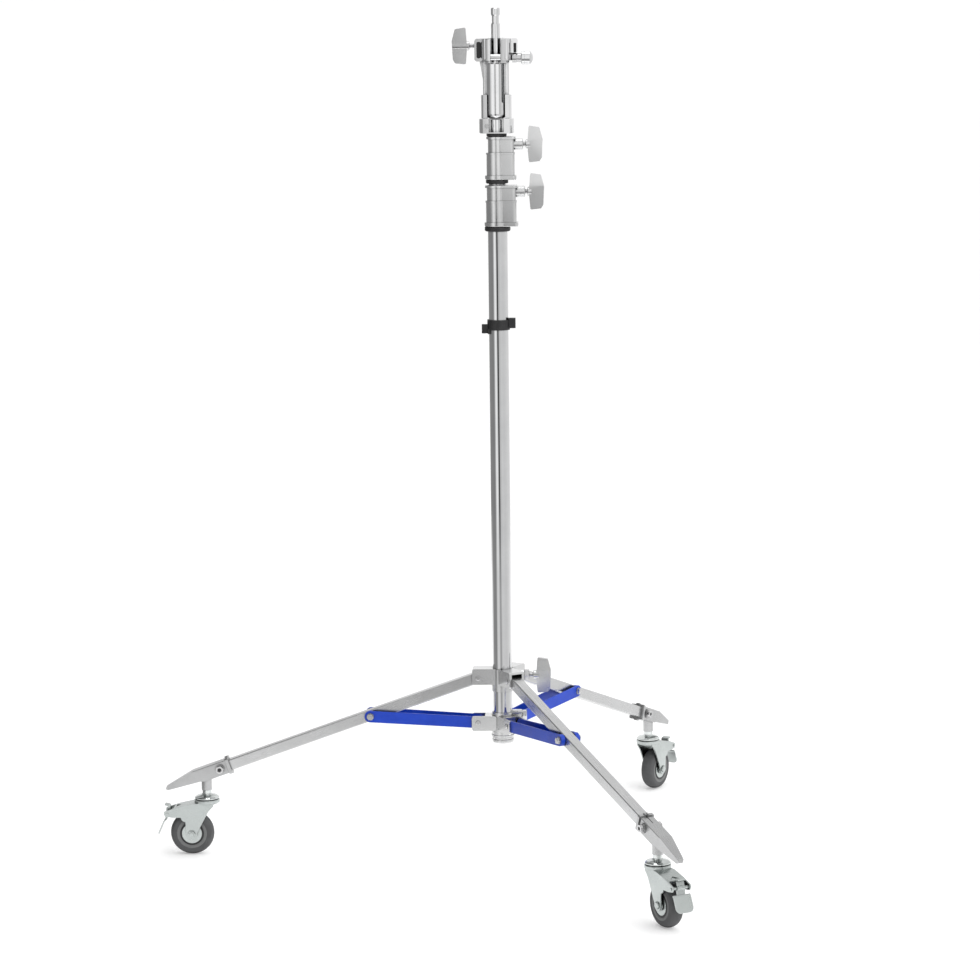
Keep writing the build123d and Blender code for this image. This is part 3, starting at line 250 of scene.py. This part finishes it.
# ---------------------------------------------------------------- helpers for pieces
ROUND_STEPS = 128  # sides of a large turned surface
ON_AXIS = 1e-7  # a profile point nearer to the axis than this is one vertex
SAME_POINT = 1e-6
FLAT_ANGLE = 0.6  # CAD triangles that meet within this angle are joined into one face
BEVEL_ANGLE = 26  # edges sharper than this are rounded
SMOOTH_ANGLE = 40  # edges sharper than this stay sharp in the shading


def new_object(name, data):
    obj = bpy.data.objects.new(name, data)
    bpy.context.scene.collection.objects.link(obj)
    return obj


def detail(obj, node, material, slot_name):
    """A small extra that moves with the body of a CAD node."""
    obj.data.materials.clear()
    obj.data.materials.append(material)
    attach(obj, BODY_OF[node])
    return obj


def place(obj, node):
    """Give a new piece its material and its body, and hide the CAD node that it stands for."""
    detail(obj, node, material_for(node), SLOT_OF[node])
    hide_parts(node)
    return obj


def shade(mesh, angle):
    """Smooth shading, with the edges sharper than angle left sharp."""
    for poly in mesh.polygons:
        poly.use_smooth = True
    mesh.set_sharp_from_angle(angle=radians(angle))


def bake(obj):
    """Turn the modifiers of an object into plain mesh."""
    depsgraph = bpy.context.evaluated_depsgraph_get()
    done = bpy.data.meshes.new_from_object(obj.evaluated_get(depsgraph))
    obj.modifiers.clear()
    obj.data = done


def rounded(node, width):
    """Copy of a CAD node with its flat faces joined up and its sharp edges rounded."""
    mesh = bpy.data.meshes.new(node + "_look")
    bm = bmesh.new()
    bm.from_mesh(frame["nodes"][node].data)
    bmesh.ops.remove_doubles(bm, verts=bm.verts, dist=SAME_POINT)
    bmesh.ops.dissolve_limit(bm, angle_limit=radians(FLAT_ANGLE), verts=bm.verts, edges=bm.edges)
    bm.to_mesh(mesh)
    bm.free()
    obj = new_object(node + "_look", mesh)
    if width:
        edges = obj.modifiers.new("edges", "BEVEL")
        edges.width = width
        edges.segments = 2
        edges.limit_method = "ANGLE"
        edges.angle_limit = radians(BEVEL_ANGLE)
        edges.use_clamp_overlap = True
        edges.miter_outer = "MITER_ARC"
        bake(obj)
    shade(obj.data, SMOOTH_ANGLE)
    flatten = obj.modifiers.new("flat_faces", "WEIGHTED_NORMAL")
    flatten.keep_sharp = True
    bake(obj)
    return place(obj, node)


def lathe(name, profile, steps, origin=(0, 0, 0), axis=(0, 0, 1), sharp=35):
    """Surface turned from (radius, height) points; the first and last may lie on the axis."""
    bm = bmesh.new()
    rings = []
    for r, z in profile:
        if r < ON_AXIS:
            rings.append([bm.verts.new((0, 0, z))])
        else:
            turns = [2 * pi * k / steps for k in range(steps)]
            rings.append([bm.verts.new((r * cos(a), r * sin(a), z)) for a in turns])
    pairs = list(zip(rings, rings[1:]))
    if len(rings[0]) > 1 and len(rings[-1]) > 1:
        pairs.append((rings[-1], rings[0]))
    for low, high in pairs:
        for k in range(steps):
            j = (k + 1) % steps
            if len(low) == 1:
                bm.faces.new((low[0], high[j], high[k]))
            elif len(high) == 1:
                bm.faces.new((low[k], low[j], high[0]))
            else:
                bm.faces.new((low[k], low[j], high[j], high[k]))
    bmesh.ops.recalc_face_normals(bm, faces=bm.faces)
    mesh = bpy.data.meshes.new(name)
    bm.to_mesh(mesh)
    bm.free()
    turn = Vector((0, 0, 1)).rotation_difference(Vector(axis)).to_matrix().to_4x4()
    mesh.transform(Matrix.Translation(Vector(origin)) @ turn)
    shade(mesh, sharp)
    return new_object(name, mesh)


def block(name, matrix, low, high):
    """Box between two corners, given in millimetres in a local frame."""
    mesh = bpy.data.meshes.new(name)
    bm = bmesh.new()
    bmesh.ops.create_cube(bm, size=1.0)
    bm.to_mesh(mesh)
    bm.free()
    low, high = Vector(low) * MM, Vector(high) * MM
    stretch = Matrix.Diagonal((*(high - low), 1))
    mesh.transform(matrix @ Matrix.Translation((low + high) / 2) @ stretch)
    return new_object(name, mesh)


def side_frame(i, origin, drop=0.0):
    """Local x runs outward (and down by drop), y across to the leg's side, z up."""
    turn = Matrix.Rotation(radians(AZIMUTHS[i]), 4, "Z") @ Matrix.Rotation(radians(drop), 4, "Y")
    return Matrix.Translation(Vector(origin)) @ turn


# ---------------------------------------------------------------- tubes and CAD pieces
TUBE_WALLS = {"column_tube": 0.002, "riser_1_tube": 0.0017, "riser_2_tube": 0.0017}
LIP = 0.0004  # rounding of a tube's ends
LIP_CORNER = 0.3 * LIP
LIP_GUARD = 3 * LIP  # rings this far from the ends keep the shading of the long faces level

# Width of the rounded edges in metres, by the first of these words in a node's name.
ROUNDING = {"spring": 0.0, "screw": 0.0003, "hardware": 0.0003, "guides": 0.0004,
            "casting": 0.0009, "knob": 0.0012, "pedal": 0.0005, "fork": 0.0005, "hub": 0.0004,
            "stem": 0.0004, "clip": 0.0008, "plunger": 0.0005, "baby_pin": 0.0005,
            "receiver": 0.0006, "head_base": 0.0007, "brace": 0.0005, "collar": 0.0008}
LEG_TUBE_ROUNDING = 0.0012


def tube(node, wall):
    """Drawn tube with rounded lips, as long as its CAD node."""
    low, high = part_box(node)
    r = (high.x - low.x) / 2
    outside = [(r - LIP, low.z), (r - LIP_CORNER, low.z + LIP_CORNER), (r, low.z + LIP),
               (r, low.z + LIP_GUARD), (r, high.z - LIP_GUARD), (r, high.z - LIP),
               (r - LIP_CORNER, high.z - LIP_CORNER), (r - LIP, high.z)]
    inside = [(r - wall, high.z), (r - wall, high.z - LIP), (r - wall, low.z + LIP),
              (r - wall, low.z)]
    return place(lathe(node + "_look", outside + inside, ROUND_STEPS), node)


def rounding_of(node):
    return next((width for word, width in ROUNDING.items() if word in node), LEG_TUBE_ROUNDING)


for tube_name, tube_wall in TUBE_WALLS.items():
    tube(tube_name, tube_wall)
for node_name in sorted(frame["nodes"]):
    if node_name not in TUBE_WALLS and not node_name.endswith("_tyre"):
        rounded(node_name, rounding_of(node_name))

# ---------------------------------------------------------------- wheels, and black pieces that paint the shade in recesses
# Profiles of a wheel as (radius, distance from its middle plane), in millimetres.
TYRE_HALF = [(20.2, -10.6), (20.8, -11.3), (23.0, -11.9), (27.0, -12.3), (31.0, -12.5),
             (33.6, -12.2), (35.6, -11.3), (37.1, -9.6), (38.5, -6.9), (39.5, -3.6), (40.0, 0.0)]
WALL_RING = [(21.2, 11.5), (21.6, 12.0), (23.2, 12.25), (26.6, 12.55), (27.4, 12.3), (27.4, 11.5)]
GROOVE_SHADE_RING = [(18.3, 11.0), (18.3, 12.5), (21.2, 12.5), (21.2, 11.0)]
TYRE_SHARP = 60

# Millimetres along the leg from its hinge, across it, and up from its middle line.
SLIT_SHADE_LOW, SLIT_SHADE_HIGH = (483.4, -0.75, 10.6), (509, 0.75, 12.1)
CLAMP_BOLT_AT = 503
BOLT_FACES = {-1: (19.4, 2.9), 1: (20.75, 3.3)}  # by side: distance across, radius of the black disc painted as the shade of the bolt's socket
BOLT_CENTRE_DEPTH = 0.3
BOLT_CENTRE_STEPS = 48

# Millimetres outward, across and up from the caster's swivel.
OPENING_SHADE_LOW, OPENING_SHADE_HIGH = (44, -9, -8.6), (58, 9, -7.6)

# Ranges of x from the crown's left or right side, of y, and of z from its top, in millimetres.
POCKET_SHADE_LEFT = ((3.8, 11.2), (-8.7, -7.4), (-35, -6))
POCKET_SHADE_RIGHT = ((-7, -2), (-5.6, -4.4), (-25.5, -8.5))


def metres(profile, side=1):
    """Profile in metres, on one side of the wheel."""
    return [(r * MM, side * z * MM) for r, z in profile]


def wheel(i):
    """Tyre with a shoulder and a paler wall, and a black ring that paints the shade of the groove
    round the hub cover.
    """
    joint = JOINTS[f"wheel_{i}_spin"]
    node = f"caster_{i}_tyre"
    at = dict(steps=ROUND_STEPS, origin=joint["pos_m"], axis=joint["axis"])
    other_half = [(r, -z) for r, z in reversed(TYRE_HALF) if z != 0]
    tyre = metres(TYRE_HALF + other_half)
    place(lathe(node + "_look", tyre, sharp=TYRE_SHARP, **at), node)
    for side in (-1, 1):
        wall = lathe(f"wheel_{i}_wall_{side + 1}", metres(WALL_RING, side), sharp=TYRE_SHARP, **at)
        detail(wall, node, TYRE_WALL, "tyre")
        # black ring flush with the wheel's face: painted shade of the groove round the hub cover
        groove = lathe(f"wheel_{i}_groove_{side + 1}", metres(GROOVE_SHADE_RING, side), **at)
        detail(groove, node, BLACK, "tyre")


def foot_slit_and_socket_shade(i):
    """Black pieces that paint the shade in the slit on top of the foot casting and in the socket
    at the centre of each face of its clamp bolt.
    """
    leg = side_frame(i, JOINTS[f"leg_{i}_hinge"]["pos_m"], LEG_DROP)
    # black block: painted shade in the slit
    slit = block(f"leg_{i}_slit", leg, SLIT_SHADE_LOW, SLIT_SHADE_HIGH)
    detail(slit, f"leg_{i}_foot_casting", BLACK, "black_plastic")
    for side, (across, radius) in BOLT_FACES.items():
        centre = leg @ Vector((CLAMP_BOLT_AT * MM, side * across * MM, 0))
        axis = (leg.to_3x3() @ Vector((0, side, 0))).normalized()
        edge = [(0, -BOLT_CENTRE_DEPTH), (radius, -BOLT_CENTRE_DEPTH), (radius, 0), (0, 0)]
        # black disc: painted shade in the bolt's socket
        socket_shade = lathe(f"leg_{i}_bolt_centre_{side + 1}", metres(edge), BOLT_CENTRE_STEPS,
                     centre, axis)
        detail(socket_shade, f"leg_{i}_hardware", BLACK, "black_plastic")


def fork_opening_shade(i):
    """Black block that paints the shade seen through the opening of the fork's top plate."""
    caster = side_frame(i, JOINTS[f"caster_{i}_swivel"]["pos_m"])
    # black block: painted shade seen through the opening
    dark = block(f"caster_{i}_opening", caster, OPENING_SHADE_LOW, OPENING_SHADE_HIGH)
    detail(dark, f"caster_{i}_fork", BLACK, "black_plastic")


def crown_pocket_shade():
    """Black blocks that paint the shade on the floors of the two cast pockets in the front of the
    crown.
    """
    low, high = (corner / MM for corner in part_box("receiver"))
    for name, edge, (x, y, z) in (("crown_pocket_left", low.x, POCKET_SHADE_LEFT),
                                  ("crown_pocket_right", high.x, POCKET_SHADE_RIGHT)):
        # black block: painted shade in the pocket
        pocket = block(name, Matrix.Identity(4), (edge + x[0], y[0], high.z + z[0]),
                       (edge + x[1], y[1], high.z + z[1]))
        detail(pocket, "receiver", BLACK, "black_plastic")


crown_pocket_shade()
for number in AZIMUTHS:
    wheel(number)
    foot_slit_and_socket_shade(number)
    fork_opening_shade(number)

# ---------------------------------------------------------------- floor
FLOOR_SIZE = 4000.0  # wide enough to fill the picture up to its top edge
FLOOR_GLOW = 0.31  # lifts the paper to the white of the photo


def paper_floor():
    half = FLOOR_SIZE / 2
    corners = [(-half, -half, 0), (half, -half, 0), (half, half, 0), (-half, half, 0)]
    mesh = bpy.data.meshes.new("floor")
    mesh.from_pydata(corners, [], [(0, 1, 2, 3)])
    floor = new_object("floor", mesh)
    n = Nodes("floor_paper")
    n.shader.inputs["Roughness"].default_value = 0.9
    n.shader.inputs["Specular IOR Level"].default_value = 0.1
    cloud = n.noise(n.coords(), scale=3, detail=3, rough=0.5)
    n.link(n.ramp(cloud, [(0.3, 0.75), (0.7, 0.77)]), n.shader.inputs["Base Color"])
    n.shader.inputs["Emission Color"].default_value = (1, 1, 1, 1)
    n.shader.inputs["Emission Strength"].default_value = FLOOR_GLOW
    mesh.materials.append(n.mat)


paper_floor()

# ---------------------------------------------------------------- light
# A ring of soft panels round the stand, seen only in reflections. Each list gives brightness by
# angle: 0 is the front (-Y), + is the right. The lists are for the legs, for the column and for
# the head, and each fades into the next between two of the heights in TENT_FADES.
LOW_PANELS = [(-180, 0.98), (-125, 0.90), (-110, 0.28), (-62, 0.24), (-48, 0.66), (-28, 0.70),
              (-14, 0.36), (-3, 0.38), (8, 0.66), (60, 0.62), (110, 0.75), (130, 1.00),
              (180, 0.95)]
COLUMN_PANELS = [(-180, 0.95), (-158, 0.90), (-142, 0.26), (-62, 0.22), (-50, 0.50),
                 (-42, 0.90), (-28, 0.90), (-18, 0.40), (-12, 0.03), (-4, 0.03), (3, 0.50),
                 (25, 0.64), (60, 0.62), (110, 0.70), (155, 0.75), (180, 0.95)]
HEAD_PANELS = [(-180, 0.95), (-158, 0.90), (-142, 0.28), (-72, 0.24), (-55, 0.70),
               (-42, 1.00), (-18, 0.95), (-12, 0.30), (-6, 0.30), (0, 0.95), (26, 1.00),
               (38, 0.40), (50, 0.62), (110, 0.75), (155, 0.85), (180, 0.95)]
TENT_FADES = [(0.32, 0.50), (1.08, 1.20)]
TENT_R = 0.95
TENT_BOTTOM = 0.004
TENT_TOP = 4.0
TENT_STEPS = 120

# The sky's strength rises from the left to the right, along its direction's x.
SKY = {"From Min": -0.85, "From Max": 0.35, "To Min": 0.12, "To Max": 1.36}


def tent_material():
    """Glow that depends on the direction from the column and on the height."""
    n = Nodes("light_tent")
    coords = n.add("ShaderNodeTexCoord")
    xyz = n.add("ShaderNodeSeparateXYZ")
    n.link(coords.outputs["Object"], xyz.inputs[0])
    angle = n.math("ARCTAN2", xyz.outputs["X"], n.math("MULTIPLY", xyz.outputs["Y"], -1))
    turn = n.math("ADD", n.math("MULTIPLY", angle, 1 / (2 * pi)), 0.5)
    result, *uppers = [n.ramp(turn, [((degrees + 180) / 360, level) for degrees, level in panels])
                       for panels in (LOW_PANELS, COLUMN_PANELS, HEAD_PANELS)]
    height = n.math("MULTIPLY", xyz.outputs["Z"], 1 / TENT_TOP)
    for upper, (start, end) in zip(uppers, TENT_FADES):
        mix = n.add("ShaderNodeMix", data_type="RGBA")
        fade = n.ramp(height, [(start / TENT_TOP, 0.0), (end / TENT_TOP, 1.0)])
        n.link(fade, mix.inputs["Factor"])
        n.link(result, mix.inputs["A"])
        n.link(upper, mix.inputs["B"])
        result = mix.outputs["Result"]
    emit = n.add("ShaderNodeEmission")
    n.link(result, emit.inputs["Color"])
    emit.inputs["Strength"].default_value = 1.0
    n.link(emit.outputs[0], n.tree.nodes["Material Output"].inputs["Surface"])
    return n.mat


def panel_ring():
    """Round tent that glows in reflections, unseen by the camera and by matt surfaces."""
    turns = [2 * pi * k / TENT_STEPS for k in range(TENT_STEPS)]
    verts = [(TENT_R * cos(a), TENT_R * sin(a), z) for z in (TENT_BOTTOM, TENT_TOP) for a in turns]
    faces = [(k, (k + 1) % TENT_STEPS, TENT_STEPS + (k + 1) % TENT_STEPS, TENT_STEPS + k)
             for k in range(TENT_STEPS)]
    mesh = bpy.data.meshes.new("light_tent")
    mesh.from_pydata(verts, [], faces)
    tent = new_object("light_tent", mesh)
    mesh.materials.append(tent_material())
    tent.visible_camera = False
    tent.visible_diffuse = False
    tent.visible_shadow = False
    tent.visible_transmission = False
    tent.visible_volume_scatter = False


def area_light(name, at, aim, size, power):
    light = bpy.data.lights.new(name, "AREA")
    light.shape = "RECTANGLE"
    light.size, light.size_y = size
    light.energy = power
    obj = new_object(name, light)
    obj.location = at
    obj.rotation_euler = (Vector(aim) - Vector(at)).to_track_quat("-Z", "Y").to_euler()


def studio_sky():
    world = bpy.data.worlds.new("studio")
    bpy.context.scene.world = world
    world.use_nodes = True
    nodes, links = world.node_tree.nodes, world.node_tree.links
    coords = nodes.new("ShaderNodeTexCoord")
    xyz = nodes.new("ShaderNodeSeparateXYZ")
    strength = nodes.new("ShaderNodeMapRange")
    for socket, value in SKY.items():
        strength.inputs[socket].default_value = value
    links.new(coords.outputs["Generated"], xyz.inputs[0])
    links.new(xyz.outputs["X"], strength.inputs["Value"])
    nodes["Background"].inputs["Color"].default_value = (1.0, 1.0, 1.0, 1)
    links.new(strength.outputs["Result"], nodes["Background"].inputs["Strength"])


panel_ring()
area_light("key", at=(3.2, -3.4, 3.2), aim=(0, 0, 0.6), size=(2.6, 2.6), power=70)
area_light("overhead", at=(0.0, 0.3, 4.2), aim=(0, 0, 0), size=(3.0, 3.0), power=30)
area_light("left_fill", at=(-3.6, -1.6, 1.8), aim=(0, 0, 0.7), size=(1.6, 2.4), power=5)
studio_sky()

# ---------------------------------------------------------------- camera
CAM_AZIMUTH = radians(1.61)  # place of the camera round the column, from the front to the right
CAM_DISTANCE = 5.96866
CAM_HEIGHT = 1.57097
CAM_PITCH = radians(8.57)
CAM_ROLL = radians(-0.64)
CAM_YAW = radians(0.18)
FOCAL_PX = 3347.06
FRAME_PX = 980
SENSOR = 36.0


def photo_camera():
    """Camera solved from the photo: it faces the column, then turns by the yaw, pitch and roll."""
    toward = Vector((-sin(CAM_AZIMUTH), cos(CAM_AZIMUTH), 0))
    toward = Matrix.Rotation(CAM_YAW, 3, "Z") @ toward
    look = toward * cos(CAM_PITCH) - Vector((0, 0, sin(CAM_PITCH)))
    right = toward.cross(Vector((0, 0, 1)))
    up = right.cross(look)
    rolled_right = right * cos(CAM_ROLL) + up * sin(CAM_ROLL)
    rolled_up = up * cos(CAM_ROLL) - right * sin(CAM_ROLL)
    turn = Matrix((rolled_right, rolled_up, -look)).transposed().to_4x4()
    spot = Vector((CAM_DISTANCE * sin(CAM_AZIMUTH), -CAM_DISTANCE * cos(CAM_AZIMUTH), CAM_HEIGHT))
    data = bpy.data.cameras.new("camera")
    data.sensor_width = SENSOR
    data.lens = FOCAL_PX / FRAME_PX * SENSOR
    camera = new_object("camera", data)
    camera.matrix_world = Matrix.Translation(spot) @ turn
    return camera


bpy.context.scene.camera = photo_camera()
bpy.context.scene.view_settings.view_transform = "Standard"
